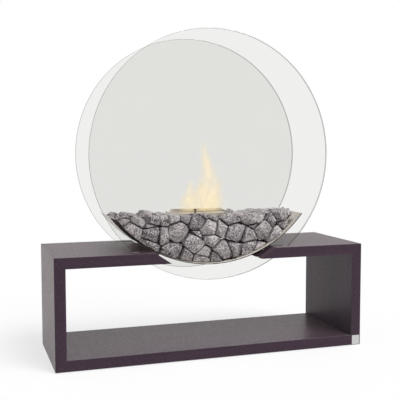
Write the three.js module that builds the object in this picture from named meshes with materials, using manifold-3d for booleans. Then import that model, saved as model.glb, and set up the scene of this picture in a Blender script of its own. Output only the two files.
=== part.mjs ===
// A bioethanol fireplace: an open frame of mitred boards carries two round glass panes on edge.
// Between the panes lies a curved steel bowl of loose stones, with a burner in its middle.
// Millimetres. +Z is up, -Y is the front, and the origin is on the floor under the middle.

import * as THREE from 'three';
import { mergeVertices } from 'three/addons/utils/BufferGeometryUtils.js';
import Module from 'manifold-3d';

// ---------------------------------------------------------------- driving dimensions

// board frame
const frameWidth = 1190;
const frameDepth = 400;
const frameHeight = 400;
const boardThickness = 40;
const boardChamfer = 1;
const mitreGlue = 0.2;
const topGapWidth = 350;
const bevelSlope = THREE.MathUtils.degToRad(34);

// corner irons in the upper mitres, splines in the lower ones
const ironLeg = 110;
const ironThickness = 5;
const ironWidth = 30;
const ironSpread = 200;
const splineThickness = 4;
const splineWidth = 24;
const splineInset = 20;

// glides and the bare badge plate
const glideDiameter = 32;
const glideHeight = 3;
const glideEdgeX = 55;
const glideEdgeY = 35;
const badgeWidth = 32;
const badgeHeight = 36;
const badgeThickness = 0.8;
const badgeProud = 0.4;

// glass panes and their rubber seats in the slots
const discRadius = 462;
const discThickness = 10;
const discChamfer = 1;
const discInset = 43;
const discSeatWidth = 608;
const seatThickness = 2;
const seatCheek = 1.2;
const seatGrip = 12;

// bowl
const bowlRadius = 467;
const bowlSheet = 3;
const bowlWidth = 736;
const bowlGlassGap = 7;
const bowlPad = 3;
const padWidth = 24;
const padInset = 10;

// burner
const standHeight = 92;
const standSheet = 3;
const standShelf = 22;
const standLength = 110;
const tankWidth = 236;
const tankDepth = 128;
const tankHeight = 86;
const tankWall = 2;
const woolHeight = 44;
const plateWidth = 250;
const plateDepth = 143;
const plateSheet = 2;
const plateRim = 12;
const mouthWidth = 200;
const mouthDepth = 45;
const mouthOffset = 24.5;

// lid, its guides and its stop
const lidWidth = 216;
const lidDepth = 62;
const lidSheet = 2;
const lidMargin = 3.5;
const railLip = 4;
const railSheet = 1.5;
const stopHeight = 10;
const stopSheet = 2;
const stopOverrun = 8;
const knobDiameter = 13;
const knobStem = 6;
const knobHeight = 15;
const knobHead = 6;
const knobOffsetX = -35;

// stones
const stoneColumns = 4;
const stoneLayers = 4;
const stonePitchZ = 48;
const stoneJitter = 0.5;
const stoneStagger = 0.18;
const stoneGap = 0.7;
const stoneRound = 0.76;
const stoneSeed = 5;
const heapRise = 8;
const heapCrown = 20;
const heapFall = 0.1;
const heapFullness = 0.7;
const heapEdge = 6;
const heapSkin = 32;
const heapCap = 12;
const burnerMargin = 3;

// The stones against a pane: x, height over the bowl's floor and bulk of each, as percentages of
// half the bowl's width. A bulkier stone pushes its neighbours' sides away. The air over them is
// given in the same way.
const frontLooseStones = [
  [-98.1, 52.4, -3.8], [-88.6, 51, -2.4], [-57.7, 46.6, 3.4], [-11, 50, -3.4],
  [22.6, 53.2, 2.4],
];
const frontTopStones = [
  [-76.6, 46.7, 1.5], [-40, 46.9, -2.2], [-25.5, 49.6, -2.8], [1.5, 35.2, -3.6],
  [50.5, 47.3, 3.4], [66.3, 37.1, 2.1], [81.6, 45.2, 3.8],
];
const frontLowerStones = [
  [-88.9, 48.4, -3.6], [-82.7, 36.2, 4.2], [-65.3, 17.6, -2], [-60, 38.3, -3.9],
  [-59.3, 32.5, 4.2], [-49.4, 31.9, -2], [-47.7, 44.5, -3.7], [-39.1, 11.5, 5.2],
  [-35.4, 33, 6.8], [-26.2, 7.1, -0.7], [-16.6, 19.8, 5.8], [-14.2, 23.2, -3.9],
  [-14.1, 44.9, 3], [-9.6, 3.9, 1.4], [-8, 9.1, -2.5], [0.7, 33.1, 5.4], [1.3, 26.5, 2.5],
  [4.7, 32.2, 1.1], [9.3, 4.8, -3.3], [13.5, 9.5, 4.1], [29.1, 16.6, 4.2], [30.7, 23.2, 5.1],
  [37.2, 21.4, 2.5], [37.9, 16.7, 2.8], [50.9, 45.4, -4.3], [56.9, 5.5, -4.2],
  [62.8, 33.5, 5.2], [71, 28.6, -1.7], [82.4, 40.6, -3.9],
];
const frontAir = [
  [93.4, 42.3, -4.2], [-95.5, 58.5, 0.7], [-87.5, 58.6, -0.1], [-76.2, 47.9, -1.8],
  [-57.4, 48.9, -0.9], [-46.9, 46.8, -1.7], [-40.3, 54.9, -0.5], [-25.6, 52.5, 1.2],
  [-11.4, 54.3, 1], [-1.4, 60.6, -0.3], [21.6, 54.4, 2.1], [23.4, 54, 1.8], [40, 59.1, -0.4],
  [50.7, 49.2, 3], [65.7, 37.5, -1.9], [79, 57.7, -0.3], [86.1, 55.4, -0.1], [95, 51.8, 0.3],
];

// running clearance between pieces that touch or slide
const fit = 0.3;

// facets of round shapes
const discSegments = 120;
const arcSegments = 48;
const smallSegments = 24;

// ---------------------------------------------------------------- levels and lines worked out from them

const boardBottom = glideHeight;
const boardTop = glideHeight + frameHeight;
const panelUnderside = boardTop - boardThickness;
const shelfTop = boardBottom + boardThickness;
const halfWidth = frameWidth / 2;
const halfDepth = frameDepth / 2;
const bevelFootX = topGapWidth / 2;
const bevelTopX = bevelFootX + boardThickness / Math.tan(bevelSlope);
const splineLength = frameDepth - 2 * splineInset;

const discFrontY = -halfDepth + discInset + discThickness / 2;
const discCentreZ = boardTop + Math.sqrt(discRadius ** 2 - (discSeatWidth / 2) ** 2);

const bowlInner = bowlRadius - bowlSheet;
const bowlHalfDepth = -discFrontY - discThickness / 2 - bowlGlassGap;
const bowlCentreZ = boardTop + Math.sqrt((bowlRadius + bowlPad) ** 2 - bevelTopX ** 2);
const bowlTipAngle = Math.asin(bowlWidth / 2 / bowlRadius);
const bowlTipZ = bowlCentreZ - bowlRadius * Math.cos(bowlTipAngle);

const tankBottom = bowlCentreZ - bowlInner + standHeight;
const tankTop = tankBottom + tankHeight;
const plateTop = tankTop + fit + plateSheet;
const lidBottom = plateTop + fit;
const lidTop = lidBottom + lidSheet;
const lidCentreY = -plateDepth / 2 + lidMargin + lidDepth / 2;
const stopFaceY = mouthOffset + mouthDepth / 2 + stopOverrun;
const clearHalfX = plateWidth / 2 + burnerMargin;
const clearHalfY = plateDepth / 2 + burnerMargin;
const stonePitchX = 2 * clearHalfX / stoneColumns;
const stonePitchY = 2 * bowlHalfDepth / stoneLayers;

// ---------------------------------------------------------------- materials

const material = (color, roughness, metalness) =>
  new THREE.MeshStandardMaterial({ color, roughness, metalness });

const wood = material('#3d2c3b', 0.55, 0);
const steel = material('#b9b6b1', 0.3, 1);
const darkSteel = material('#77757a', 0.45, 1);
const badgeMetal = material('#c9c9c9', 0.35, 1);
const rubber = material('#c7cac8', 0.5, 0);
const plastic = material('#1c1a1c', 0.6, 0);
const wool = material('#dcd9d0', 0.95, 0);
const granite = material('#8d8a8c', 0.85, 0);
const glass = material('#e2e8e5', 0.05, 0);
glass.transparent = true;
glass.opacity = 0.35;

// ---------------------------------------------------------------- solids

const wasm = await Module();
wasm.setup();

/** A closed three.js geometry as a solid that can be joined and cut. */
function solidOf(geometry) {
  const bare = geometry.clone();
  bare.deleteAttribute('normal');
  bare.deleteAttribute('uv');
  const merged = mergeVertices(bare, 1e-4);
  return new wasm.Manifold(new wasm.Mesh({
    numProp: 3,
    vertProperties: Float32Array.from(merged.attributes.position.array),
    triVerts: Uint32Array.from(merged.index.array),
  }));
}

/** The geometry of a joined or cut solid, with a flat normal on each face. */
function geometryOf(solid) {
  const { vertProperties, triVerts } = solid.getMesh();
  const geometry = new THREE.BufferGeometry();
  geometry.setAttribute('position', new THREE.BufferAttribute(vertProperties, 3));
  geometry.setIndex(new THREE.BufferAttribute(triVerts, 1));
  const faceted = geometry.toNonIndexed();
  faceted.computeVertexNormals();
  return faceted;
}

/** A box from its low corner to its high corner. */
function box([x0, y0, z0], [x1, y1, z1]) {
  const geometry = new THREE.BoxGeometry(x1 - x0, y1 - y0, z1 - z0);
  return solidOf(geometry.translate((x0 + x1) / 2, (y0 + y1) / 2, (z0 + z1) / 2));
}

/** A shape drawn in the XZ plane, run along Y between y0 and y1, its end edges chamfered. */
function prism(shape, y0, y1, chamfer = 0) {
  const geometry = new THREE.ExtrudeGeometry(shape, {
    depth: y1 - y0 - 2 * chamfer,
    curveSegments: arcSegments,
    bevelEnabled: chamfer > 0,
    bevelThickness: chamfer,
    bevelSize: chamfer,
    bevelOffset: -chamfer,
    bevelSegments: 1,
  });
  return solidOf(geometry.rotateX(Math.PI / 2).translate(0, y1 - chamfer, 0));
}

/** A closed outline through [x, z] points. */
const outline = (points) => new THREE.Shape(points.map(([x, z]) => new THREE.Vector2(x, z)));

/** A round plate standing in the XZ plane, centred on the origin. */
function disc(radius, thickness, chamfer = 0) {
  const half = thickness / 2;
  const profile = [
    [0, -half],
    [radius - chamfer, -half],
    [radius, -half + chamfer],
    [radius, half - chamfer],
    [radius - chamfer, half],
    [0, half],
  ].map(([r, y]) => new THREE.Vector2(r, y));
  return solidOf(new THREE.LatheGeometry(profile, discSegments));
}

/** A cylinder along Y through the bowl's axis, as deep as the frame. */
function bowlCylinder(radius) {
  const circle = new THREE.Shape().absarc(0, bowlCentreZ, radius, 0, 2 * Math.PI);
  return prism(circle, -halfDepth, halfDepth);
}

/** The same outline on the left side instead of the right. */
const mirrored = (points) => points.map(([x, z]) => [-x, z]).toReversed();


// ---------------------------------------------------------------- scene graph

const fireplace = new THREE.Group();

/** Hangs a solid in the scene under its name. */
function add(name, solid, look) {
  const mesh = new THREE.Mesh(geometryOf(solid), look);
  mesh.name = name;
  fireplace.add(mesh);
}

// ---------------------------------------------------------------- board frame

/** The whole frame as one ring, open at the top between the two bevels. */
function boardRing() {
  const outer = [
    [bevelTopX, boardTop],
    [halfWidth - boardChamfer, boardTop],
    [halfWidth, boardTop - boardChamfer],
    [halfWidth, boardBottom + boardChamfer],
    [halfWidth - boardChamfer, boardBottom],
  ];
  const inner = [
    [halfWidth - boardThickness, shelfTop],
    [halfWidth - boardThickness, panelUnderside],
    [bevelFootX, panelUnderside],
  ];
  const points = [...outer, ...mirrored(outer), ...mirrored(inner), ...inner];
  return prism(outline(points), -halfDepth, halfDepth, boardChamfer);
}

/** The saw cut of one mitre, on the plane from a frame's outer corner to its inner one. */
function mitreCut(sideX, sideZ) {
  const reach = boardThickness * Math.SQRT2;
  const blade = new THREE.BoxGeometry(2 * reach, frameDepth + 2, mitreGlue);
  blade.rotateY(sideX * sideZ * -Math.PI / 4);
  const centreX = sideX * (halfWidth - boardThickness / 2);
  const centreZ = sideZ > 0 ? boardTop - boardThickness / 2 : boardBottom + boardThickness / 2;
  return solidOf(blade.translate(centreX, 0, centreZ));
}

/** An L-shaped iron that holds an upper mitre, buried half way through the boards. */
function cornerIron(side, y, play = 0) {
  const axisX = halfWidth - boardThickness / 2;
  const axisZ = boardTop - boardThickness / 2;
  const half = ironThickness / 2 + play;
  const leg = ironLeg + play;
  const points = [
    [axisX + half, axisZ + half],
    [axisX - leg, axisZ + half],
    [axisX - leg, axisZ - half],
    [axisX - half, axisZ - half],
    [axisX - half, axisZ - leg],
    [axisX + half, axisZ - leg],
  ];
  const reach = ironWidth / 2 + play;
  return prism(outline(side > 0 ? points : mirrored(points)), y - reach, y + reach);
}

/** A wooden tongue square across a lower mitre. */
function mitreSpline(side, play = 0) {
  const tongue = new THREE.BoxGeometry(
    splineWidth + 2 * play, splineLength + 2 * play, splineThickness + 2 * play);
  tongue.rotateY(side * -Math.PI / 4);
  const inset = boardThickness / 2;
  return solidOf(tongue.translate(side * (halfWidth - inset), 0, boardBottom + inset));
}

/** The bare badge plate, centred on the lower right mitre. */
function badgePlate(play = 0) {
  const centreX = halfWidth - boardThickness / 2;
  const centreZ = boardBottom + boardThickness / 2;
  const front = -halfDepth - badgeProud;
  return box(
    [centreX - badgeWidth / 2 - play, front - play, centreZ - badgeHeight / 2 - play],
    [centreX + badgeWidth / 2 + play, front + badgeThickness + play, centreZ + badgeHeight / 2 + play]);
}

/** The pane at y as it stands in its slots; grown by play on its edge and slack on its faces. */
const paneAt = (y, play, slack, chamfer = 0) =>
  disc(discRadius + play, discThickness + 2 * slack, chamfer).translate([0, y, discCentreZ]);

const ironPlaces = [-ironSpread / 2, ironSpread / 2];
const panePlaces = [['front', discFrontY], ['rear', -discFrontY]];

/** The name of a sawn board, from where it stands in the frame. */
function boardName(board) {
  const { min, max } = board.boundingBox();
  const side = min[0] + max[0] < 0 ? 'left' : 'right';
  const middleZ = (min[2] + max[2]) / 2;
  if (middleZ < shelfTop) {
    return 'base_panel';
  }
  return middleZ > panelUnderside ? `top_panel_${side}` : `${side}_side_panel`;
}

function addBoards() {
  let ring = boardRing();
  for (const side of [-1, 1]) {
    ring = ring.subtract(mitreCut(side, 1)).subtract(mitreCut(side, -1));
    ring = ring.subtract(mitreSpline(side, fit));
    for (const y of ironPlaces) {
      ring = ring.subtract(cornerIron(side, y, fit));
    }
  }
  for (const [, y] of panePlaces) {
    ring = ring.subtract(paneAt(y, seatThickness + fit, seatCheek + fit));
  }
  for (const board of ring.subtract(badgePlate(fit)).decompose()) {
    add(boardName(board), board, wood);
  }
}

function addJoinery() {
  for (const [side, sideName] of [[-1, 'left'], [1, 'right']]) {
    add(`mitre_spline_${sideName}`, mitreSpline(side), wood);
    ironPlaces.forEach((y, i) => {
      add(`corner_iron_${sideName}_${i === 0 ? 'front' : 'rear'}`, cornerIron(side, y), darkSteel);
    });
    for (const [depth, depthName] of [[-1, 'front'], [1, 'rear']]) {
      const glide = new THREE.CylinderGeometry(
        glideDiameter / 2, glideDiameter / 2, glideHeight, smallSegments);
      glide.rotateX(Math.PI / 2);
      glide.translate(side * (halfWidth - glideEdgeX), depth * (halfDepth - glideEdgeY), glideHeight / 2);
      add(`glide_${sideName}_${depthName}`, solidOf(glide), plastic);
    }
  }
  add('badge_plate', badgePlate(), badgeMetal);
}

// ---------------------------------------------------------------- glass panes

/** The rubber channel round a pane's edge where one slot ends. */
function glassSeat(y, side) {
  const outer = paneAt(y, seatThickness, seatCheek);
  const groove = paneAt(y, fit, fit);
  const core = disc(discRadius - seatGrip, frameDepth).translate([0, y, discCentreZ]);
  const x0 = side > 0 ? 0 : -halfWidth;
  const slab = box(
    [x0, -halfDepth, panelUnderside + fit],
    [x0 + halfWidth, halfDepth, boardTop - fit]);
  return outer.intersect(slab).subtract(groove).subtract(core);
}

function addPanes() {
  for (const [name, y] of panePlaces) {
    add(`${name}_glass_disc`, paneAt(y, 0, 0, discChamfer), glass);
    add(`${name}_seat_left`, glassSeat(y, -1), rubber);
    add(`${name}_seat_right`, glassSeat(y, 1), rubber);
  }
}

// ---------------------------------------------------------------- bowl

/** The bowl's section: an arc of sheet with a rounded edge at each tip. */
function bowlSection() {
  const down = -Math.PI / 2;
  const middle = bowlRadius - bowlSheet / 2;
  const tipX = middle * Math.sin(bowlTipAngle);
  const tipZ = bowlCentreZ - middle * Math.cos(bowlTipAngle);
  const shape = new THREE.Shape();
  shape.absarc(0, bowlCentreZ, bowlRadius, down - bowlTipAngle, down + bowlTipAngle, false);
  shape.absarc(tipX, tipZ, bowlSheet / 2, down + bowlTipAngle, down + bowlTipAngle + Math.PI, false);
  shape.absarc(0, bowlCentreZ, bowlInner, down + bowlTipAngle, down - bowlTipAngle, true);
  shape.absarc(-tipX, tipZ, bowlSheet / 2, down - bowlTipAngle - Math.PI, down - bowlTipAngle, false);
  return shape;
}

/** A rubber strip on a bevel, its upper side hollowed to the bowl. */
function bowlPadStrip(side) {
  const along = [-Math.cos(bevelSlope), -Math.sin(bevelSlope)];
  const outward = [-Math.sin(bevelSlope), Math.cos(bevelSlope)];
  const at = (s, n) => [
    bevelTopX + s * along[0] + n * outward[0],
    boardTop + s * along[1] + n * outward[1],
  ];
  const rise = bowlPad + padInset;
  const points = [at(padInset, fit), at(padInset, rise), at(padInset + padWidth, rise),
    at(padInset + padWidth, fit)];
  const reach = bowlHalfDepth - padInset;
  const strip = prism(outline(side > 0 ? points : mirrored(points)), -reach, reach);
  return strip.subtract(bowlCylinder(bowlRadius + fit));
}

function addBowl() {
  add('fire_bowl', prism(bowlSection(), -bowlHalfDepth, bowlHalfDepth), steel);
  add('bowl_strip_left', bowlPadStrip(-1), rubber);
  add('bowl_strip_right', bowlPadStrip(1), rubber);
}

// ---------------------------------------------------------------- burner

/** A C-shaped bracket: a foot on the bowl, a web beside the tank and a shelf under it. */
function standBracket(side) {
  const webX = tankWidth / 2 + fit;
  const reach = standLength / 2;
  const shelfTopZ = tankBottom - fit;
  const web = box([webX, -reach, boardBottom], [webX + standSheet, reach, shelfTopZ + standShelf]);
  const shelf = box(
    [webX - standShelf, -reach, shelfTopZ - standSheet],
    [webX + standSheet / 2, reach, shelfTopZ]);
  const footBlock = box([webX - standShelf, -reach, boardBottom], [webX + standSheet / 2, reach, shelfTopZ]);
  const foot = footBlock.subtract(bowlCylinder(bowlInner - fit - standSheet));
  const bracket = web.add(shelf).add(foot).intersect(bowlCylinder(bowlInner - fit));
  return side > 0 ? bracket : bracket.mirror([1, 0, 0]);
}

function fuelTank() {
  const outer = box(
    [-tankWidth / 2, -tankDepth / 2, tankBottom],
    [tankWidth / 2, tankDepth / 2, tankTop]);
  const inner = box(
    [-tankWidth / 2 + tankWall, -tankDepth / 2 + tankWall, tankBottom + tankWall],
    [tankWidth / 2 - tankWall, tankDepth / 2 - tankWall, tankTop + tankWall]);
  return outer.subtract(inner);
}

/** The wool that holds the fuel, loose on the tank's floor. */
function fuelWool() {
  const gap = tankWall + fit;
  return box(
    [-tankWidth / 2 + gap, -tankDepth / 2 + gap, tankBottom + gap],
    [tankWidth / 2 - gap, tankDepth / 2 - gap, tankBottom + gap + woolHeight]);
}

/** The burner's cover with its rim turned down and the mouth that the flame comes from. */
function burnerPlate() {
  const outer = box(
    [-plateWidth / 2, -plateDepth / 2, plateTop - plateRim],
    [plateWidth / 2, plateDepth / 2, plateTop]);
  const hollow = box(
    [-plateWidth / 2 + plateSheet, -plateDepth / 2 + plateSheet, plateTop - 2 * plateRim],
    [plateWidth / 2 - plateSheet, plateDepth / 2 - plateSheet, plateTop - plateSheet]);
  const mouth = box(
    [-mouthWidth / 2, mouthOffset - mouthDepth / 2, plateTop - plateRim],
    [mouthWidth / 2, mouthOffset + mouthDepth / 2, plateTop + plateRim]);
  return outer.subtract(hollow).subtract(mouth);
}

/** A guide beside the lid, with a lip over its end. */
function lidRail(side) {
  const inner = lidWidth / 2 + fit;
  const lipBottom = lidTop + fit;
  const points = [
    [inner, plateTop],
    [inner + railSheet, plateTop],
    [inner + railSheet, lipBottom + railSheet],
    [inner - railLip, lipBottom + railSheet],
    [inner - railLip, lipBottom],
    [inner, lipBottom],
  ];
  const shape = outline(side > 0 ? points : mirrored(points));
  return prism(shape, -plateDepth / 2 + lidMargin, stopFaceY - fit);
}

const lidStop = () => box(
  [-lidWidth / 2, stopFaceY, plateTop],
  [lidWidth / 2, stopFaceY + stopSheet, plateTop + stopHeight]);

const lidPlate = () => box(
  [-lidWidth / 2, lidCentreY - lidDepth / 2, lidBottom],
  [lidWidth / 2, lidCentreY + lidDepth / 2, lidTop]);

/** The lid's mushroom knob. */
function lidKnob() {
  const headRadius = knobDiameter / 2;
  const neck = knobHeight - knobHead;
  const profile = new THREE.Path();
  profile.moveTo(0, 0);
  profile.lineTo(knobStem / 2, 0);
  profile.lineTo(knobStem / 2, neck);
  profile.lineTo(headRadius, neck + knobHead / 3);
  profile.quadraticCurveTo(headRadius, knobHeight, 0, knobHeight);
  const turned = new THREE.LatheGeometry(profile.getPoints(6), smallSegments);
  return solidOf(turned.rotateX(Math.PI / 2)).translate([knobOffsetX, lidCentreY, lidTop]);
}

function addBurner() {
  for (const [side, sideName] of [[-1, 'left'], [1, 'right']]) {
    add(`burner_bracket_${sideName}`, standBracket(side), darkSteel);
    add(`lid_rail_${sideName}`, lidRail(side), steel);
  }
  add('burner_tank', fuelTank(), darkSteel);
  add('fuel_wool', fuelWool(), wool);
  add('burner_plate', burnerPlate(), steel);
  add('lid_stop', lidStop(), steel);
  add('burner_lid', lidPlate(), steel);
  add('lid_knob', lidKnob(), darkSteel);
}

// ---------------------------------------------------------------- stones

/** A repeatable stream of numbers from 0 to 1. */
function randomStream(seed) {
  let state = seed >>> 0;
  return () => {
    state = (state + 0x6d2b79f5) >>> 0;
    let mixed = Math.imul(state ^ (state >>> 15), 1 | state);
    mixed = (mixed + Math.imul(mixed ^ (mixed >>> 7), 61 | mixed)) ^ mixed;
    return ((mixed ^ (mixed >>> 14)) >>> 0) / 4294967296;
  };
}

/** How high the heap lies: crowned between the bowl's tips and the burner, falling to the rear. */
function heapLevel(x, y) {
  const inner = clearHalfX - stonePitchX;
  const outer = bowlWidth / 2;
  const share = THREE.MathUtils.clamp((outer - Math.abs(x)) / (outer - inner), 0, 1);
  const crown = heapCrown * Math.sin(Math.PI * share) ** heapFullness;
  return bowlTipZ + heapRise + crown - heapFall * (y + bowlHalfDepth);
}

/** The inner side of the bowl under x. */
const bowlFloor = (x) => bowlCentreZ - Math.sqrt(Math.max(bowlInner ** 2 - x ** 2, 0));

/** The bed that a stone at x, y belongs to; none over the burner. */
function bedAt(x, y) {
  if (Math.abs(x) > clearHalfX) {
    return x < 0 ? 'left' : 'right';
  }
  if (Math.abs(y) > clearHalfY) {
    return y < 0 ? 'front' : 'rear';
  }
  return null;
}

/** Seeds of the stones against one pane: the table as it is in front, turned round at the rear. */
function paneSeeds(layer, random) {
  const unit = bowlWidth / 2 / 100;
  const side = layer === 0 ? -1 : 1;
  const y = (layer + 0.5 - stoneLayers / 2) * stonePitchY;
  const foot = bowlCentreZ - bowlInner - heapFall * layer * stonePitchY;
  const tables = [frontLooseStones, frontTopStones, frontLowerStones, frontAir];
  return tables.flatMap((rows) => rows.map(([x, height, bulk]) => {
    const isLoose = rows === frontLooseStones;
    const point = new THREE.Vector3(-side * x * unit, y, foot + height * unit);
    return {
      point,
      power: Math.sign(bulk) * (bulk * unit) ** 2,
      turn: Math.PI * random(),
      bed: rows === frontAir ? null : bedAt(point.x, y),
      isDeep: false,
      isTop: isLoose || rows === frontTopStones,
      shows: true,
      isLoose,
    };
  }));
}

/**
 * Seeds of all stones: the two tables at the panes and, between them, columns across the bowl with
 * rows from its floor to the top of the heap. A seed outside the heap has no bed and only bounds
 * its neighbours.
 */
function stoneSeeds() {
  const random = randomStream(stoneSeed);
  const columns = Math.ceil(bowlWidth / stonePitchX / 2) + 1;
  const seeds = [...paneSeeds(0, random), ...paneSeeds(stoneLayers - 1, random)];
  for (let column = -columns; column < columns; column += 1) {
    const x = (column + 0.5) * stonePitchX;
    const floor = bowlFloor(x);
    for (let layer = 1; layer < stoneLayers - 1; layer += 1) {
      const y = (layer + 0.5 - stoneLayers / 2) * stonePitchY;
      const height = Math.max(heapLevel(x, y) - floor, stonePitchZ / 2);
      const rows = Math.max(Math.round(height / stonePitchZ), 1);
      const step = height / rows;
      const stagger = step * (column % 2 === 0 ? stoneStagger : -stoneStagger);
      for (let row = -1; row <= rows; row += 1) {
        const isTop = row === rows - 1;
        const isInside = Math.abs(x) < bowlWidth / 2 && row >= 0 && row < rows;
        const isTip = Math.abs(x) > bowlWidth / 2 - stonePitchX;
        const jitter = row < rows ? stoneJitter : stoneJitter / 2;
        const shake = (pitch) => pitch * jitter * (random() - 0.5);
        const lift = isInside && !isTop ? stagger : 0;
        const cover = row === rows ? Math.max(heapSkin - step, 0) : 0;
        seeds.push({
          point: new THREE.Vector3(
            x + shake(stonePitchX),
            y + shake(stonePitchY),
            floor + (row + 0.5) * step + lift + cover + shake(step)),
          power: 0,
          turn: Math.PI * random(),
          bed: isInside ? bedAt(x, y) : null,
          isDeep: true,
          isTop,
          shows: isTop,
          isLoose: isTop && (isTip || (column + layer) % 2 === 0),
        });
      }
    }
  }
  return seeds;
}

/** The space that one seed holds against all others, less half the gap all round. */
function seedCell(seed, seeds, gap) {
  const reach = 2 * stonePitchY;
  const { x, y, z } = seed.point;
  let cell = box([x - reach, y - reach, z - reach], [x + reach, y + reach, z + reach]);
  for (const other of seeds) {
    const away = seed.point.clone().sub(other.point);
    const distance = away.length();
    if (other !== seed && distance < 2 * reach) {
      away.divideScalar(distance);
      const middle = seed.point.clone().add(other.point).multiplyScalar(0.5);
      const push = (seed.power - other.power) / (2 * distance);
      cell = cell.trimByPlane(away.toArray(), middle.dot(away) - push + gap / 2);
    }
  }
  return cell;
}

/** The space inside the bowl that stones can fill, up to well above the heap. */
function bowlSpace() {
  const halfX = bowlWidth / 2 - heapEdge;
  const top = box(
    [-halfX, -bowlHalfDepth, bowlCentreZ - bowlRadius],
    [halfX, bowlHalfDepth, boardTop + bowlRadius / 2]);
  return top.intersect(bowlCylinder(bowlInner - fit));
}

/** A stone's cell in the bowl, trimmed flat where it would lean over the burner. */
function roomFor(seed, seeds, space, gap) {
  const outward = seed.isDeep
    ? [Math.sign(seed.point.x), 0, 0]
    : [0, Math.sign(seed.point.y), 0];
  return seedCell(seed, seeds, gap)
    .intersect(space)
    .trimByPlane(outward, seed.isDeep ? clearHalfX : clearHalfY);
}

/** One stone with its corners knocked off. */
function stone(seed, seeds, space) {
  const cell = roomFor(seed, seeds, space, stoneGap);
  const { min, max } = cell.boundingBox();
  const chunk = new THREE.IcosahedronGeometry(stoneRound, 0)
    .rotateX(seed.turn)
    .rotateZ(2 * seed.turn)
    .scale(stonePitchX, stonePitchY, stonePitchZ)
    .translate((min[0] + max[0]) / 2, (min[1] + max[1]) / 2, (min[2] + max[2]) / 2);
  return cell.intersect(solidOf(chunk));
}

/** What joins a stone to its bed: its cell, short of the panes and of the heap's top. */
function heart(seed, seeds, space) {
  const reach = bowlHalfDepth - heapSkin;
  const cell = roomFor(seed, seeds, space, -fit)
    .trimByPlane([0, 1, 0], -reach)
    .trimByPlane([0, -1, 0], -reach);
  return seed.isTop ? cell.trimByPlane([0, 0, -1], heapCap - cell.boundingBox().max[2]) : cell;
}

/** The stones: the loose ones on top as pieces of their own, the others grown into four beds. */
function addStones() {
  const seeds = stoneSeeds();
  const space = bowlSpace();
  const heap = seeds.filter(({ bed }) => bed !== null);

  heap.filter(({ isLoose }) => isLoose).forEach((seed, i) => {
    add(`stone_${String(i + 1).padStart(2, '0')}`, stone(seed, seeds, space), granite);
  });
  for (const bed of ['left', 'right', 'front', 'rear']) {
    const isMember = (seed) => seed.bed === bed && !seed.isLoose;
    const members = heap.filter(isMember);
    let mass = wasm.Manifold.union(members.map((seed) => heart(seed, seeds, space)));
    for (const other of heap.filter((seed) => !isMember(seed))) {
      mass = mass.subtract(seedCell(other, seeds, -fit));
    }
    const rounded = members.filter(({ shows }) => shows).map((seed) => stone(seed, seeds, space));
    add(`stone_bed_${bed}`, wasm.Manifold.union([mass, ...rounded]), granite);
  }
}

addBoards();
addJoinery();
addPanes();
addBowl();
addBurner();
addStones();

export default fireplace;
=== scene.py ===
"""A bioethanol fireplace: its finishes, its broken stones, its panes and its flame."""

import math

import bmesh
import bpy
from mathutils import Matrix, Vector, noise


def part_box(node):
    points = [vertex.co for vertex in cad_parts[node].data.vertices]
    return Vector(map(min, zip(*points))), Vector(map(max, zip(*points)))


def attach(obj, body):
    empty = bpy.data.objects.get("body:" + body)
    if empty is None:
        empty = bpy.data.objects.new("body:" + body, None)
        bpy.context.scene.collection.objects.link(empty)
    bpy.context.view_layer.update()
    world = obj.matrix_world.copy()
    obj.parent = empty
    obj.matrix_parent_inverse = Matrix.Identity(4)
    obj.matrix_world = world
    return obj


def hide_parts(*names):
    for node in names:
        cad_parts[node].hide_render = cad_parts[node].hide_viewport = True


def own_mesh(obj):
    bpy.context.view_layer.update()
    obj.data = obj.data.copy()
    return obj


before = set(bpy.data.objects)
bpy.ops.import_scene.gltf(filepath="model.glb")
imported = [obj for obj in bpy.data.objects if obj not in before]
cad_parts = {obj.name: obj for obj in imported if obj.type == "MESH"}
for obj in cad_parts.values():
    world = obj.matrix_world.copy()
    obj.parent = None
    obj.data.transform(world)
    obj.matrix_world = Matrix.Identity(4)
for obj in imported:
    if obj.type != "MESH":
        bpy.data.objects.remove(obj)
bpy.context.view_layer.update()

# ---------------------------------------------------------------- sizes, in metres

PANE_ARRIS = 0.001
PANE_STEPS = 288

BOWL_RADIUS = 0.467
BOWL_SHEET = 0.003
BOWL_HALF_DEPTH = 0.140
BOWL_CENTRE_Z = 0.81043
BOWL_TIP_X = 0.368
BOWL_TIP_ROUNDING = 0.00135
BOWL_STEPS = 144
BOWL_INNER = BOWL_RADIUS - BOWL_SHEET
BOWL_FLOOR_Z = BOWL_CENTRE_Z - BOWL_INNER
BOWL_TIP_Z = BOWL_CENTRE_Z - math.sqrt(BOWL_RADIUS ** 2 - BOWL_TIP_X ** 2)

KNOB_STEPS = 40

# The stones keep clear of the burner out to these distances from the middle.
CLEAR_HALF_X = 0.128
CLEAR_HALF_Y = 0.0745

# The stones lie in layers from the front pane to the rear one, and the inner layers in columns.
LAYERS = 4
COLUMNS_EACH_WAY = 7
PITCH_X = 0.064
PITCH_Y = 0.070
PITCH_Z = 0.048
JITTER = 0.5
STAGGER = 0.18
HEAP_RISE = 0.008
HEAP_CROWN = 0.020
HEAP_FULLNESS = 0.7
HEAP_FALL = 0.1
HEAP_SKIN = 0.032
LAYING_SEED = 5
TONE_SEED = 21
TABLE_UNIT = BOWL_TIP_X / 100

# What a stone leaves free towards its neighbours, the bowl, the bowl's tips and the panes, and how
# far chance sets it back from a pane at most.
STONE_GAP = 0.0034
BOWL_GAP = 0.001
TIP_GAP = 0.0065
PANE_GAP = 0.0005
DEEPEST_SET_BACK = 0.016

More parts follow.
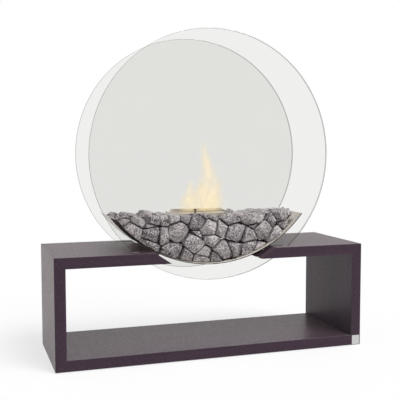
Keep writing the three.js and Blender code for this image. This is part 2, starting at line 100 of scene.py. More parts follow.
# How a stone is cut from its block and broken. Each pair is the least and what chance adds to it,
# and angles are in degrees.
BLOCK = 0.28
CHUNK_SIZE = 0.92
BREAKS = 6
BREAK_LEAN = (16, 40)
BREAK_SWING = 50
BREAK_SHARE = (0.58, 0.26)
SHORT_EDGE = 0.003
EDGE_WEAR = 0.0016
LONG_EDGES = (0.009, 0.008)
HOLLOW_DEPTH = 0.0020
HOLLOW_SCALE = 55

PLATE_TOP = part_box("burner_plate")[1][2]

# The stones against a pane: x, height over the bowl's floor and bulk, as percentages of half the
# bowl's width. A bulkier stone pushes its neighbours' sides away. The air over them is the same.
LOOSE_STONES = [
    (-98.1, 52.4, -3.8), (-88.6, 51, -2.4), (-57.7, 46.6, 3.4), (-11, 50, -3.4),
    (22.6, 53.2, 2.4),
]
TOP_STONES = [
    (-76.6, 46.7, 1.5), (-40, 46.9, -2.2), (-25.5, 49.6, -2.8), (1.5, 35.2, -3.6),
    (50.5, 47.3, 3.4), (66.3, 37.1, 2.1), (81.6, 45.2, 3.8),
]
LOWER_STONES = [
    (-88.9, 48.4, -3.6), (-82.7, 36.2, 4.2), (-65.3, 17.6, -2), (-60, 38.3, -3.9),
    (-59.3, 32.5, 4.2), (-49.4, 31.9, -2), (-47.7, 44.5, -3.7), (-39.1, 11.5, 5.2),
    (-35.4, 33, 6.8), (-26.2, 7.1, -0.7), (-16.6, 19.8, 5.8), (-14.2, 23.2, -3.9),
    (-14.1, 44.9, 3), (-9.6, 3.9, 1.4), (-8, 9.1, -2.5), (0.7, 33.1, 5.4), (1.3, 26.5, 2.5),
    (4.7, 32.2, 1.1), (9.3, 4.8, -3.3), (13.5, 9.5, 4.1), (29.1, 16.6, 4.2), (30.7, 23.2, 5.1),
    (37.2, 21.4, 2.5), (37.9, 16.7, 2.8), (50.9, 45.4, -4.3), (56.9, 5.5, -4.2),
    (62.8, 33.5, 5.2), (71, 28.6, -1.7), (82.4, 40.6, -3.9),
]
AIR = [
    (93.4, 42.3, -4.2), (-95.5, 58.5, 0.7), (-87.5, 58.6, -0.1), (-76.2, 47.9, -1.8),
    (-57.4, 48.9, -0.9), (-46.9, 46.8, -1.7), (-40.3, 54.9, -0.5), (-25.6, 52.5, 1.2),
    (-11.4, 54.3, 1), (-1.4, 60.6, -0.3), (21.6, 54.4, 2.1), (23.4, 54, 1.8), (40, 59.1, -0.4),
    (50.7, 49.2, 3), (65.7, 37.5, -1.9), (79, 57.7, -0.3), (86.1, 55.4, -0.1), (95, 51.8, 0.3),
]


# ---------------------------------------------------------------- finishes

def colour(red, green, blue):
    """A colour as a screen shows it, 0 to 255, as the shaders take it."""
    def linear(level):
        part = level / 255
        return part / 12.92 if part <= 0.04045 else ((part + 0.055) / 1.055) ** 2.4
    return linear(red), linear(green), linear(blue), 1


def grey(level):
    """A plain grey; 1 is white."""
    return level, level, level, 1


def stretched(along, share):
    """The scale that draws a pattern out along one axis."""
    return [share if axis == along else 1 for axis in range(3)]


class Field:
    """One output of a node. Arithmetic on it adds Math nodes."""

    def __init__(self, look, socket):
        self.look = look
        self.socket = socket

    def math(self, operation, *values):
        return self.look.node("Math", {"operation": operation}, dict(enumerate(values)))

    def __add__(self, other):
        return self.math("ADD", self, other)

    def __sub__(self, other):
        return self.math("SUBTRACT", self, other)

    def __rsub__(self, other):
        return self.math("SUBTRACT", other, self)

    def __mul__(self, other):
        return self.math("MULTIPLY", self, other)

    def __pow__(self, other):
        return self.math("POWER", self, other)

    __radd__ = __add__
    __rmul__ = __mul__

    def clamped(self):
        return self.look.node("Clamp", values={"Value": self})


class Look:
    """The nodes of one finish, or of the world."""

    def __init__(self, owner):
        owner.use_nodes = True
        self.owner = owner
        self.tree = owner.node_tree
        self.tree.nodes.clear()

    def node(self, kind, settings=None, values=None, output=0):
        """Adds a node, sets it, feeds its sockets and returns one of its outputs."""
        made = self.tree.nodes.new("ShaderNode" + kind)
        for name, setting in (settings or {}).items():
            if name == "stops":
                stops = made.color_ramp.elements
                while len(stops) < len(setting):
                    stops.new(1)
                for stop, (position, shade) in zip(stops, setting):
                    stop.position = position
                    stop.color = shade
            else:
                setattr(made, name, setting)
        for name, value in (values or {}).items():
            if isinstance(value, Field):
                self.tree.links.new(value.socket, made.inputs[name])
            else:
                made.inputs[name].default_value = value
        return Field(self, made.outputs[output]) if made.outputs else None

    def spot(self, scale=(1, 1, 1)):
        """The place on the piece, stretched."""
        place = self.node("TexCoord", output="Object")
        return self.node("Mapping", values={"Vector": place, "Scale": scale})

    def cloud(self, where, scale, detail=3, roughness=0.55, distortion=0):
        """Soft noise from 0 to 1."""
        return self.node("TexNoise", values={
            "Vector": where, "Scale": scale, "Detail": detail, "Roughness": roughness,
            "Distortion": distortion})

    def from_map(self, name, way=0):
        """A number kept in one way of a UV map."""
        place = self.node("UVMap", {"uv_map": name})
        return self.node("SeparateXYZ", values={"Vector": place}, output=way)

    def ramp(self, factor, *stops):
        """A colour from stops, each a position and its colour."""
        return self.node("ValToRGB", {"stops": stops}, {"Fac": factor})

    def grey_ramp(self, factor, low, high, start=0, end=1):
        """A number that runs from start to end while the factor goes from low to high."""
        return self.node("MapRange", values={
            "Value": factor, "From Min": low, "From Max": high, "To Min": start, "To Max": end})

    def tinted(self, factor, first, second):
        """From the first colour to the second. A Mix node has its colours at sockets 6 and 7."""
        return self.node(
            "Mix", {"data_type": "RGBA"}, {0: factor, 6: first, 7: second}, output=2)

    def bump(self, height, distance, strength=1.0):
        """Fine relief that is too small for the mesh."""
        return self.node("Bump", values={
            "Height": height, "Distance": distance, "Strength": strength})

    def done(self, shader):
        """Ends the finish with a shader."""
        self.node("OutputMaterial", values={"Surface": shader})
        return self.owner

    def coated(self, **values):
        """Ends the finish with the standard surface."""
        named = {name.replace("_", " "): value for name, value in values.items()}
        return self.done(self.node("BsdfPrincipled", values=named))


def new_look(name):
    """A material with no nodes yet."""
    return Look(bpy.data.materials.new(name))

def stained_oak(name, along):
    """Dark purple-brown stained veneer with fine open pores, its grain along one axis."""
    look = new_look(name)
    where = look.spot(scale=stretched(along, 0.045))
    figure = look.cloud(where, 26, detail=5, roughness=0.6, distortion=0.35)
    pores = look.cloud(where, 620, detail=2, roughness=0.6)
    dust = look.cloud(look.spot(), 900, detail=2)
    base = look.ramp(
        figure, (0.3, colour(40, 25, 40)), (0.52, colour(49, 33, 49)), (0.72, colour(59, 42, 58)))
    open_pores = look.grey_ramp(pores, 0.42, 0.3)
    dark = look.tinted(open_pores * 0.7, base, colour(26, 18, 26))
    flecks = look.cloud(look.spot(scale=stretched(along, 0.25)), 330, detail=2)
    mottled = look.tinted(look.grey_ramp(flecks, 0.54, 0.66) * 0.45, dark, colour(84, 64, 76))
    light = look.tinted(look.grey_ramp(dust, 0.56, 0.74) * 0.35, mottled, colour(96, 80, 90))
    return look.coated(
        Base_Color=light, Roughness=look.grey_ramp(flecks, 0.4, 0.65, 0.44, 0.30),
        Specular_IOR_Level=0.30, Specular_Tint=(1.0, 0.90, 0.90, 1),
        Sheen_Weight=0.24, Sheen_Roughness=0.35, Sheen_Tint=(1.0, 0.78, 0.72, 1),
        Normal=look.bump(pores * 0.5 + flecks * 0.5, 0.0006, 0.5))


def brushed(name, tint, along, roughness, stain=None):
    """Metal with fine parallel strokes along one axis."""
    look = new_look(name)
    strokes = look.cloud(look.spot(scale=stretched(along, 0.02)), 1400, detail=3)
    patches = look.cloud(look.spot(), 9, detail=4, roughness=0.65)
    dark = tuple(level * 0.86 for level in tint[:3]) + (1,)
    face = look.tinted(look.grey_ramp(patches, 0.35, 0.7), tint, dark)
    if stain:
        face = look.tinted(look.grey_ramp(patches, 0.5, 0.75) * 0.7, face, stain)
    return look.coated(
        Base_Color=look.tinted(look.grey_ramp(strokes, 0.35, 0.65) * 0.25, face, dark),
        Metallic=1.0,
        Roughness=look.grey_ramp(strokes, 0.3, 0.7, roughness - 0.06, roughness + 0.1),
        Normal=look.bump(strokes, 0.0002, 0.5))


def broken_granite():
    """Speckled granite: dark mica, grey quartz and pinkish feldspar, with pale dusty flecks."""
    look = new_look("broken_granite")
    where = look.spot()
    jumble = look.node("TexVoronoi", values={"Vector": where, "Scale": 330}, output="Color")
    grain = look.node("SeparateColor", values={"Color": jumble})
    fine = look.node("TexVoronoi", values={"Vector": where, "Scale": 720}, output="Color")
    fleck = look.node("SeparateColor", values={"Color": fine}, output=1)
    patches = look.cloud(where, 38, detail=4, roughness=0.6)
    tone = look.from_map("tone")
    mineral = look.ramp(
        grain + (patches - 0.5) * 0.5 + (tone - 0.5) * 0.42,
        (0.08, colour(52, 47, 53)), (0.24, colour(132, 126, 131)), (0.48, colour(186, 178, 183)),
        (0.68, colour(220, 211, 215)), (0.92, colour(246, 238, 239)))
    flecked = look.tinted(look.grey_ramp(fleck, 0.82, 0.86) * 0.8, mineral, colour(30, 28, 32))
    pale = look.tinted(look.grey_ramp(fleck, 0.16, 0.12) * 0.55, flecked, colour(226, 220, 222))
    return look.coated(
        Base_Color=pale, Roughness=look.grey_ramp(grain, 0, 1, 0.62, 0.9), Specular_IOR_Level=0.3,
        Normal=look.bump(patches * 0.6 + look.cloud(where, 260, detail=4) * 0.4, 0.0022, 0.7))


def clear_glass():
    """A clear pane: it dims what is behind it a little and mirrors only at a low angle."""
    look = new_look("clear_glass")
    smear = look.cloud(look.spot(), 5, detail=2)
    through = look.tinted(smear, (0.932, 0.933, 0.925, 1), (0.928, 0.929, 0.921, 1))
    passing = look.node("BsdfTransparent", values={"Color": through})
    mirror = look.node("BsdfGlossy", values={"Color": grey(1), "Roughness": 0.02})
    lean = look.node("Fresnel", values={"IOR": 1.45})
    inside = look.node("NewGeometry", output="Backfacing")
    return look.done(look.node("MixShader", values={
        0: ((lean - 0.045) * (1 - inside)).clamped(), 1: passing, 2: mirror}))


def polished_rim():
    """The ground and polished edge of a pane: grey-green as the glass itself is, and darker than
    the pane as painted shade for the light its edge bends away.
    """
    look = new_look("polished_rim")
    smear = look.cloud(look.spot(), 40, detail=2)
    # The darker see-through tint is partly the glass's own green and partly painted shade, standing
    # in for refraction at the edge.
    through = look.tinted(smear, (0.60, 0.61, 0.59, 1), (0.48, 0.50, 0.48, 1))
    passing = look.node("BsdfTransparent", values={"Color": through})
    mirror = look.node("BsdfGlossy", values={"Color": (0.8, 0.82, 0.8, 1), "Roughness": 0.08})
    return look.done(look.node("MixShader", values={0: smear * 0.3, 1: passing, 2: mirror}))


def milky_rubber():
    """The translucent seats and strips, slightly uneven."""
    look = new_look("milky_rubber")
    where = look.spot()
    haze = look.cloud(where, 60)
    return look.coated(
        Base_Color=look.tinted(haze, colour(188, 190, 187), colour(206, 207, 203)),
        Roughness=look.grey_ramp(haze, 0.3, 0.7, 0.42, 0.6),
        Normal=look.bump(look.cloud(where, 700), 0.0003, 0.4))


def black_plastic():
    """The glides, with a fine moulded grain."""
    look = new_look("black_plastic")
    where = look.spot()
    haze = look.cloud(where, 90)
    return look.coated(
        Base_Color=look.tinted(haze, colour(24, 22, 24), colour(36, 33, 35)),
        Roughness=look.grey_ramp(haze, 0.3, 0.7, 0.5, 0.7),
        Normal=look.bump(look.cloud(where, 1500), 0.0002, 0.6))


def mineral_wool():
    """The off-white felt that holds the fuel."""
    look = new_look("mineral_wool")
    fibres = look.cloud(look.spot(scale=(1, 1, 6)), 320, detail=5, distortion=1.5)
    return look.coated(
        Base_Color=look.ramp(
            fibres, (0.35, colour(196, 190, 178)), (0.65, colour(236, 233, 225))),
        Roughness=0.95, Normal=look.bump(fibres, 0.002))


def flame_light():
    """Glowing gas: see-through, brightest along its middle, gone at its edges and its tip."""
    look = new_look("flame_light")
    height = look.from_map("tongue", 1)
    heat = look.from_map("heat")
    edge = look.node("Math", {"operation": "ABSOLUTE"}, {0: look.from_map("tongue") * 2 - 1})
    lick = look.cloud(look.spot(scale=(1, 1, 0.35)), 42, detail=3, distortion=0.6)
    body = (1 - edge ** 1.8).clamped() ** 1.5
    ends = look.grey_ramp(height, 1.0, 0.72) * look.grey_ramp(height, 0.0, 0.05, 0.5, 1)
    cover = body * ends * heat * look.grey_ramp(lick, 0.3, 0.62, 0.75, 1.1)
    warm = look.ramp(
        cover, (0.0, (0.80, 0.68, 0.44, 1)), (0.3, (0.84, 0.70, 0.43, 1)),
        (0.6, (0.98, 0.80, 0.52, 1)))
    glow = look.node("Emission", values={"Color": warm, "Strength": 1.3})
    return look.done(look.node("MixShader", values={
        0: cover.clamped(), 1: look.node("BsdfTransparent"), 2: glow}))


OAK_ALONG_X = stained_oak("stained_oak_along_x", 0)
OAK_ALONG_Y = stained_oak("stained_oak_along_y", 1)
OAK_ALONG_Z = stained_oak("stained_oak_along_z", 2)
BOWL_STEEL = brushed("bowl_steel", colour(205, 199, 193), 1, roughness=0.24)
PLATE_STEEL = brushed("plate_steel", colour(216, 209, 200), 0, roughness=0.42)
TANK_STEEL = brushed(
    "tank_steel", colour(120, 117, 120), 0, roughness=0.42, stain=colour(86, 72, 74))
# The bowl's front and rear sheet edges: a near-black steel that is painted shade, standing in for
# the shade on these thin edges.
SHADED_EDGE_STEEL = brushed("bowl_edge_painted_shade", colour(40, 37, 38), 0, roughness=0.4)
KNOB_STEEL = brushed("knob_steel", colour(92, 82, 76), 2, roughness=0.3)
IRON = brushed("black_iron", colour(70, 68, 72), 0, roughness=0.5)
BADGE_METAL = brushed("badge_metal", colour(206, 205, 206), 0, roughness=0.33)
GRANITE = broken_granite()
GLASS = clear_glass()
RIM = polished_rim()
RUBBER = milky_rubber()
PLASTIC = black_plastic()
WOOL = mineral_wool()
FLAME = flame_light()

CAD_FINISHES = {
    OAK_ALONG_X: ["base_panel", "top_panel_left", "top_panel_right"],
    OAK_ALONG_Y: ["mitre_spline_left", "mitre_spline_right"],
    OAK_ALONG_Z: ["left_side_panel", "right_side_panel"],
    PLATE_STEEL: ["burner_plate", "burner_lid", "lid_stop", "lid_rail_left", "lid_rail_right"],
    TANK_STEEL: ["burner_tank", "burner_bracket_left", "burner_bracket_right"],
    BADGE_METAL: ["badge_plate"],
    WOOL: ["fuel_wool"],
    RUBBER: ["bowl_strip_left", "bowl_strip_right",
             *(f"{pane}_seat_{side}" for pane in ("front", "rear") for side in ("left", "right"))],
    PLASTIC: [f"glide_{side}_{end}" for side in ("left", "right") for end in ("front", "rear")],
    IRON: [f"corner_iron_{side}_{end}" for side in ("left", "right") for end in ("front", "rear")],
}

for finish, names in CAD_FINISHES.items():
    for name in names:
        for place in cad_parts[name].material_slots:
            place.material = finish


# ---------------------------------------------------------------- mesh helpers

def added(name, shape, *finishes):
    """Makes a finished bmesh an object of the scene."""
    mesh = bpy.data.meshes.new(name)
    shape.to_mesh(mesh)
    shape.free()
    for finish in finishes:
        mesh.materials.append(finish)
    made = bpy.data.objects.new(name, mesh)
    bpy.context.scene.collection.objects.link(made)
    return made


def piece(name, shape, body, slot, *finishes, replaces=()):
    """Turns a finished bmesh into a piece that rides on a body."""
    made = added(name, shape, *finishes)
    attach(made, body)
    if replaces:
        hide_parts(*replaces)
    return made


def tidied(shape):
    """Merges the seams and poles, and turns all faces outwards."""
    bmesh.ops.remove_doubles(shape, verts=shape.verts, dist=1e-6)
    bmesh.ops.dissolve_degenerate(shape, dist=1e-7, edges=shape.edges)
    bmesh.ops.recalc_face_normals(shape, faces=shape.faces)
    return shape


def turned(points, centre, axis, steps):
    """A closed shape, turned from the points of its profile as on a lathe."""
    shape = bmesh.new()
    verts = [shape.verts.new(point) for point in points]
    edges = [shape.edges.new(pair) for pair in zip(verts, verts[1:])]
    bmesh.ops.spin(
        shape, geom=verts + edges, cent=centre, axis=axis, angle=math.tau, steps=steps,
        use_merge=True)
    return tidied(shape)


def smooth_all(shape):
    for face in shape.faces:
        face.smooth = True


# ---------------------------------------------------------------- glass panes

def glass_pane(node, body):
    """A round pane on edge, with rounded and polished arrises."""
    low, high = (Vector(corner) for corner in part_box(node))
    centre = (low + high) / 2
    radius = (high.z - low.z) / 2
    half = (high.y - low.y) / 2
    profile = [(0, -half), (radius - PANE_ARRIS, -half)]
    for degrees in (22.5, 45, 67.5, 90):
        turn = math.radians(degrees)
        profile.append((radius - PANE_ARRIS * (1 - math.sin(turn)),
                        -half + PANE_ARRIS * (1 - math.cos(turn))))
    profile += [(across, -along) for across, along in reversed(profile)]
    points = [centre + Vector((across, along, 0)) for across, along in profile]
    shape = turned(points, centre, (0, 1, 0), PANE_STEPS)
    for face in shape.faces:
        is_rim = abs(face.normal.y) < 0.999
        face.smooth = is_rim
        face.material_index = int(is_rim)
    piece(f"{body}_disc", shape, body, "glass", GLASS, RIM, replaces=[node])


glass_pane("front_glass_disc", "front_pane")
glass_pane("rear_glass_disc", "rear_pane")


# ---------------------------------------------------------------- bowl

def fire_bowl():
    """A bent sheet, its tips rounded and its front and rear edges left as they were cut."""
    tip = math.asin(BOWL_TIP_X / BOWL_RADIUS)
    axis = Vector((0, 0, BOWL_CENTRE_Z))
    start = Matrix.Rotation(tip, 4, "Y")
    corners = [(-BOWL_RADIUS, -BOWL_HALF_DEPTH), (-BOWL_RADIUS, BOWL_HALF_DEPTH),
               (-BOWL_INNER, BOWL_HALF_DEPTH), (-BOWL_INNER, -BOWL_HALF_DEPTH)]
    shape = bmesh.new()
    face = shape.faces.new(
        [shape.verts.new(axis + start @ Vector((0, y, z))) for z, y in corners])
    bmesh.ops.spin(
        shape, geom=[face, *face.edges, *face.verts], cent=axis, axis=(0, 1, 0), angle=-2 * tip,
        steps=BOWL_STEPS)
    tidied(shape)
    tips = [edge for edge in shape.edges
            if edge.calc_length() > BOWL_HALF_DEPTH and edge.calc_face_angle(0) > 1]
    bmesh.ops.bevel(
        shape, geom=tips, offset=BOWL_TIP_ROUNDING, segments=4, profile=0.5, affect="EDGES",
        material=-1)
    # The front and rear cut edges take the near-black steel, which is painted shade on these thin
    # edges.
    for face in shape.faces:
        is_painted_shade_edge = abs(face.normal.y) > 0.5
        face.smooth = not is_painted_shade_edge
        face.material_index = int(is_painted_shade_edge)
    piece("bent_bowl", shape, "stand", "steel", BOWL_STEEL, SHADED_EDGE_STEEL, replaces=["fire_bowl"])


fire_bowl()


# ---------------------------------------------------------------- burner

def lid_knob():
    """The turned mushroom knob of the lid."""
    low, high = (Vector(corner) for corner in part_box("lid_knob"))
    centre = (low + high) / 2
    head = (high.x - low.x) / 2
    tall = high.z - low.z
    foot = [(0, 0), (0.0040, 0), (0.0040, 0.0012), (0.0032, 0.0020)]
    neck = [(0.0027, 0.0050), (0.0030, 0.0082)]
    brim = [(head - 0.0012, 0.0100), (head - 0.0003, 0.0106), (head, 0.0116),
            (head - 0.0006, 0.0128), (head - 0.0022, 0.0142)]
    crown = [(head - 0.0042, tall - 0.0002), (0, tall)]
    points = [Vector((centre.x + across, centre.y, low.z + up))
              for across, up in foot + neck + brim + crown]
    shape = turned(points, centre, (0, 0, 1), KNOB_STEPS)
    smooth_all(shape)
    piece("turned_knob", shape, "lid", "knob", KNOB_STEEL, replaces=["lid_knob"])


lid_knob()


# ---------------------------------------------------------------- stones

def random_stream(seed):
    """The same repeatable numbers from 0 to 1 that laid the stones."""
    whole = 0xFFFFFFFF
    state = seed
    while True:
        state = (state + 0x6D2B79F5) & whole
        mixed = (state ^ state >> 15) * (1 | state) & whole
        mixed ^= (mixed + (mixed ^ mixed >> 7) * (61 | mixed)) & whole
        yield (mixed ^ mixed >> 14) / (whole + 1)


def heap_level(x, y):
    """How high the heap lies: crowned between a tip and the burner, falling to the rear."""
    share = min(max((BOWL_TIP_X - abs(x)) / (BOWL_TIP_X - CLEAR_HALF_X + PITCH_X), 0), 1)
    crown = HEAP_CROWN * max(math.sin(math.pi * share), 0) ** HEAP_FULLNESS
    return BOWL_TIP_Z + HEAP_RISE + crown - HEAP_FALL * (y + BOWL_HALF_DEPTH)


def layer_y(layer):
    """Where the middle of a layer lies between the panes."""
    return (layer - (LAYERS - 1) / 2) * PITCH_Y


def bed_at(x, y):
    """The bed that a stone belongs to; none over the burner."""
    if abs(x) > CLEAR_HALF_X:
        return "left" if x < 0 else "right"
    if abs(y) > CLEAR_HALF_Y:
        return "front" if y < 0 else "rear"
    return None


def pane_seeds(layer, numbers):
    """Stones against one pane: the table as it is in front, turned round at the rear."""
    side = -1 if layer == 0 else 1
    y = layer_y(layer)
    foot = BOWL_FLOOR_Z - HEAP_FALL * layer * PITCH_Y
    for rows in (LOOSE_STONES, TOP_STONES, LOWER_STONES, AIR):
        for x, height, bulk in rows:
            point = Vector((-side * x * TABLE_UNIT, y, foot + height * TABLE_UNIT))
            yield {
                "point": point, "power": math.copysign((bulk * TABLE_UNIT) ** 2, bulk),
                "turn": math.pi * next(numbers),
                "bed": None if rows is AIR else bed_at(point.x, y),
                "deep": False, "top": True, "loose": rows is LOOSE_STONES}


def column_seeds(column, layer, numbers):
    """One column of an inner layer, with one seed under the bowl and one of air on top."""
    x, y = (column + 0.5) * PITCH_X, layer_y(layer)
    floor = BOWL_CENTRE_Z - math.sqrt(max(BOWL_INNER ** 2 - x ** 2, 0))
    height = max(heap_level(x, y) - floor, PITCH_Z / 2)
    rows = max(math.floor(height / PITCH_Z + 0.5), 1)
    step = height / rows
    stagger = step * (STAGGER if column % 2 == 0 else -STAGGER)
    for row in range(-1, rows + 1):
        is_top = row == rows - 1
        is_inside = abs(x) < BOWL_TIP_X and 0 <= row < rows
        is_at_tip = abs(x) > BOWL_TIP_X - PITCH_X
        jitter = JITTER if row < rows else JITTER / 2
        shake = [pitch * jitter * (next(numbers) - 0.5) for pitch in (PITCH_X, PITCH_Y, step)]
        lift = stagger if is_inside and not is_top else 0
        cover = max(HEAP_SKIN - step, 0) if row == rows else 0
        z = floor + (row + 0.5) * step + lift + cover + shake[2]
        yield {
            "point": Vector((x + shake[0], y + shake[1], z)), "power": 0.0,
            "turn": math.pi * next(numbers), "bed": bed_at(x, y) if is_inside else None,
            "deep": True, "top": is_top,
            "loose": is_top and (is_at_tip or (column + layer) % 2 == 0)}


def all_seeds():
    """The seeds of the two rows at the panes, then those of the columns between them."""
    numbers = random_stream(LAYING_SEED)
    seeds = [*pane_seeds(0, numbers), *pane_seeds(LAYERS - 1, numbers)]
    for column in range(-COLUMNS_EACH_WAY, COLUMNS_EACH_WAY):
        for layer in range(1, LAYERS - 1):
            seeds += column_seeds(column, layer, numbers)
    return seeds


def trim(shape, point, outward):
    """Cuts off what lies beyond a plane and closes the cut."""
    if all((vert.co - point).dot(outward) < 1e-6 for vert in shape.verts):
        return
    cut = bmesh.ops.bisect_plane(
        shape, geom=[*shape.verts, *shape.edges, *shape.faces], dist=1e-7, plane_co=point,
        plane_no=outward, clear_outer=True)
    rim = [item for item in cut["geom_cut"] if isinstance(item, bmesh.types.BMEdge)]
    bmesh.ops.edgeloop_fill(shape, edges=rim)


def break_ways(seed):
    """Where a stone's visible side broke off: directions, and the share of its reach left."""
    numbers = random_stream(int(seed["turn"] * 1e6))
    tilt = Matrix.Rotation(math.radians(90), 3, "X") if seed["deep"] else Matrix.Identity(3)
    side = 1 if seed["deep"] else math.copysign(1, seed["point"].y)
    for step in range(BREAKS):
        lean = math.radians(BREAK_LEAN[0] + BREAK_LEAN[1] * next(numbers))
        swing = math.radians(360 // BREAKS * step + BREAK_SWING * next(numbers))
        way = Vector((math.sin(lean) * math.cos(swing), side * math.cos(lean),
                      math.sin(lean) * math.sin(swing)))
        yield tilt @ way, BREAK_SHARE[0] + BREAK_SHARE[1] * next(numbers)


def chunk_planes(seed, centre):
    """Twenty planes round a stone that knock its corners off: point and outward normal."""
    golden = (1 + math.sqrt(5)) / 2
    inner_over_outer = 0.79465  # the two radii of a regular solid with twenty faces
    ways = [Vector((x, y, z)) for x in (-1, 1) for y in (-1, 1) for z in (-1, 1)]
    for first in (-golden, golden):
        for second in (-1 / golden, 1 / golden):
            ways += [Vector((0, first, second)), Vector((second, 0, first)),
                     Vector((first, second, 0))]
    spin = Matrix.Rotation(2 * seed["turn"], 3, "Z") @ Matrix.Rotation(seed["turn"], 3, "X")
    size = Vector((PITCH_X, PITCH_Y, PITCH_Z))
    reach = CHUNK_SIZE * inner_over_outer
    for way in ways:
        aim = spin @ way.normalized()
        point = Vector([c + s * a * reach for c, s, a in zip(centre, size, aim)])
        yield point, Vector([a / s for a, s in zip(aim, size)]).normalized()


def stone_cell(seed, seeds):
    """The space that a seed holds against all others, in the bowl and clear of the burner."""
    middle = seed["point"]
    shape = bmesh.new()
    bmesh.ops.create_cube(shape, size=BLOCK, matrix=Matrix.Translation(middle))
    near = sorted(seeds, key=lambda other: (other["point"] - middle).length)
    for other in near[1:]:
        away = other["point"] - middle
        distance = away.length
        if distance > BLOCK:
            break
        away.normalize()
        push = (seed["power"] - other["power"]) / (2 * distance)
        trim(shape, middle + away * (distance / 2 + push - STONE_GAP / 2), away)
    for degrees in range(-52, 53, 4):
        lean = math.radians(degrees)
        outward = Vector((math.sin(lean), 0, -math.cos(lean)))
        trim(shape, Vector((0, 0, BOWL_CENTRE_Z)) + outward * (BOWL_INNER - BOWL_GAP), outward)
    set_back = 0 if seed["deep"] else DEEPEST_SET_BACK * (seed["turn"] * 7.3 % 1) ** 2
    half_x, half_y = BOWL_TIP_X - TIP_GAP, BOWL_HALF_DEPTH - PANE_GAP - set_back
    for side in (-1, 1):
        trim(shape, Vector((side * half_x, 0, 0)), Vector((side, 0, 0)))
        trim(shape, Vector((0, side * half_y, 0)), Vector((0, side, 0)))
    if seed["deep"]:
        side = math.copysign(1, middle.x)
        trim(shape, Vector((side * CLEAR_HALF_X, 0, 0)), Vector((-side, 0, 0)))
    else:
        side = math.copysign(1, middle.y)
        trim(shape, Vector((0, side * CLEAR_HALF_Y, 0)), Vector((0, -side, 0)))
    return shape


def break_corners(shape, seed):
    """Knocks the corners off a stone and breaks its visible side."""
    low = Vector([min(vert.co[axis] for vert in shape.verts) for axis in range(3)])
    high = Vector([max(vert.co[axis] for vert in shape.verts) for axis in range(3)])
    centre = (low + high) / 2
    for point, outward in chunk_planes(seed, centre):
        trim(shape, point, outward)
    for way, share in break_ways(seed):
        reach = max((vert.co - centre).dot(way) for vert in shape.verts)
        trim(shape, centre + way * reach * share, way)


def roughen(shape, seed):
    """Wears a stone's edges and gives its faces fine facets and hollows."""
    bmesh.ops.remove_doubles(shape, verts=shape.verts, dist=SHORT_EDGE)
    bmesh.ops.recalc_face_normals(shape, faces=shape.faces)
    bmesh.ops.bevel(
        shape, geom=shape.edges, offset=EDGE_WEAR, segments=1, profile=0.5, affect="EDGES",
        material=-1, clamp_overlap=True)
    bmesh.ops.triangulate(shape, faces=shape.faces)
    for longest in LONG_EDGES:
        long_edges = [edge for edge in shape.edges if edge.calc_length() > longest]
        bmesh.ops.subdivide_edges(shape, edges=long_edges, cuts=1)
        bmesh.ops.triangulate(shape, faces=shape.faces)
    shape.normal_update()
    offset = Vector((seed["turn"] * 7, 0, 0))
    for vert in shape.verts:
        rough = noise.fractal(vert.co * HOLLOW_SCALE + offset, 0.8, 2.1, 4)
        vert.co -= vert.normal * HOLLOW_DEPTH * min(max(0.5 + 0.7 * rough, 0), 1)


def add_stones():
    """The loose stones as pieces of their own, and the others as one piece per bed."""
    seeds = all_seeds()
    tones = random_stream(TONE_SEED)
    beds = {bed: bmesh.new() for bed in ("left", "right", "front", "rear")}
    count = 0
    for seed in seeds:
        if seed["bed"] is None:
            continue
        tone = next(tones)
        shape = stone_cell(seed, seeds)
        if seed["top"]:
            break_corners(shape, seed)
        roughen(shape, seed)
        tone_map = shape.loops.layers.uv.new("tone")
        for face in shape.faces:
            for loop in face.loops:
                loop[tone_map].uv = tone, 0
        if seed["loose"]:
            count += 1
            piece(f"granite_{count:02d}", shape, "stand", "granite", GRANITE,
                  replaces=[f"stone_{count:02d}"])
            continue
        mesh = bpy.data.meshes.new("stone")
        shape.to_mesh(mesh)
        shape.free()
        beds[seed["bed"]].from_mesh(mesh)
        bpy.data.meshes.remove(mesh)
    for bed, shape in beds.items():
        piece(f"granite_bed_{bed}", shape, "stand", "granite", GRANITE,
              replaces=[f"stone_bed_{bed}"])


add_stones()


# ---------------------------------------------------------------- flame

FOOT_LIFT = 0.0005

# One row per tongue: foot x and y, height, width, lean of its tip in x and y, turn about the
# upright in degrees, sway, and heat, which is how much of what is behind it the glow covers.
TONGUES = [
    (0.044, 0.020, 0.292, 0.132, -0.018, 0.004, 0, 0.005, 0.58),
    (0.036, 0.030, 0.200, 0.090, 0.002, 0.000, 60, 0.005, 0.30),
    (-0.046, 0.022, 0.134, 0.104, 0.015, 0.004, 12, 0.004, 0.48),
    (0.070, 0.027, 0.134, 0.082, 0.016, 0.000, -12, 0.004, 0.42),
    (0.006, 0.029, 0.124, 0.214, 0.000, 0.000, 0, 0.003, 0.46),
    (0.010, 0.026, 0.090, 0.040, 0.000, 0.000, 90, 0.003, 0.30),
]


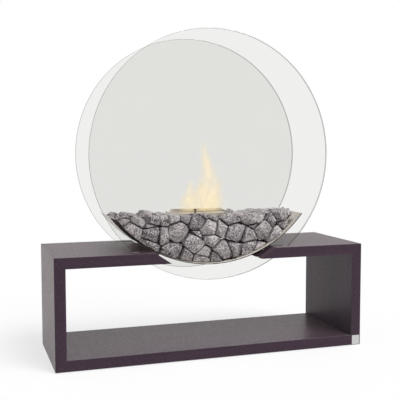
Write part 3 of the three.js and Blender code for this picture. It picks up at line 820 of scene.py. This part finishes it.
def flame():
    """Curved curtains of glowing gas over the burner's mouth."""
    shape = bmesh.new()
    shape.loops.layers.uv.new("tongue")
    heat_map = shape.loops.layers.uv.new("heat")
    for foot_x, foot_y, height, width, lean_x, lean_y, degrees, sway, heat in TONGUES:
        grid = bmesh.ops.create_grid(
            shape, x_segments=12, y_segments=40, size=0.5, calc_uvs=True)
        turn = Matrix.Rotation(math.radians(degrees), 3, "Z")
        # A tongue is widest below its middle, narrows to its tip, and swings and curls as it rises.
        for vert in grid["verts"]:
            across, up = vert.co.x, vert.co.y + 0.5
            belly = 0.78 + 0.4 * math.sin(math.pi * min(up * 1.6, 1))
            taper = (1 - up) ** 0.5 * belly
            swing = sway * math.sin(9 * up + foot_x * 90) * up ** 0.5
            curl = 0.10 * width * math.cos(math.pi * across) * math.sin(6 * up + foot_x * 50)
            place = turn @ Vector((across * width * taper, curl, 0))
            vert.co = Vector((
                foot_x + lean_x * up + swing + place.x, foot_y + lean_y * up + place.y,
                PLATE_TOP + FOOT_LIFT + height * up))
            for loop in vert.link_loops:
                loop[heat_map].uv = heat, 0
    smooth_all(shape)
    made = piece("flame", shape, "burner", "wool", FLAME)
    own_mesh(made)


flame()


# ---------------------------------------------------------------- floor, light and camera

def seen(look):
    """1 for what the camera, a mirror or a clear surface shows, 0 for light on the object."""
    rays = [look.node("LightPath", output=name)
            for name in ("Is Camera Ray", "Is Glossy Ray", "Is Transmission Ray")]
    return (rays[0] + rays[1] + rays[2]).clamped()


def white_sky():
    """White to look at, and an even grey light on the object."""
    look = Look(bpy.data.worlds.new("studio"))
    shade = look.tinted(seen(look), (0.34, 0.34, 0.35, 1), grey(1))
    look.node("OutputWorld", values={
        "Surface": look.node("Background", values={"Color": shade, "Strength": 1.0})})
    bpy.context.scene.world = look.owner


def white_floor():
    """White to look at, and keeps the object's shadow."""
    look = new_look("white_floor")
    matt = look.node("BsdfDiffuse", values={"Color": grey(0.28)})
    lift = look.tinted(seen(look), grey(0.46), grey(0.715))
    glow = look.node("Emission", values={"Color": lift, "Strength": 1.0})
    white = look.done(look.node("AddShader", values={0: matt, 1: glow}))
    shape = bmesh.new()
    bmesh.ops.create_grid(shape, x_segments=1, y_segments=1, size=60)
    floor = added("floor", shape, white)


def key_lamp():
    """A broad, even light from far away, from above the front's right."""
    data = bpy.data.lights.new("key", "SUN")
    data.energy = 2.7
    data.angle = math.radians(34)
    made = bpy.data.objects.new("key", data)
    made.rotation_euler = Vector((-0.40, 0.66, -1.0)).to_track_quat("-Z", "Y").to_euler()
    bpy.context.scene.collection.objects.link(made)


def camera():
    """The photograph's own view, fitted to the frame's edges and both glass circles."""
    data = bpy.data.cameras.new("camera")
    data.sensor_width = 36
    data.sensor_fit = "HORIZONTAL"
    data.lens = 66.596
    made = bpy.data.objects.new("camera", data)
    made.location = (-0.90203, -2.73176, 0.79192)
    made.rotation_euler = (
        math.radians(90 - 4.3287), math.radians(0.0776), math.radians(-18.2155))
    bpy.context.scene.collection.objects.link(made)
    bpy.context.scene.camera = made


white_sky()
white_floor()
key_lamp()
camera()
bpy.context.scene.view_settings.view_transform = "Standard"
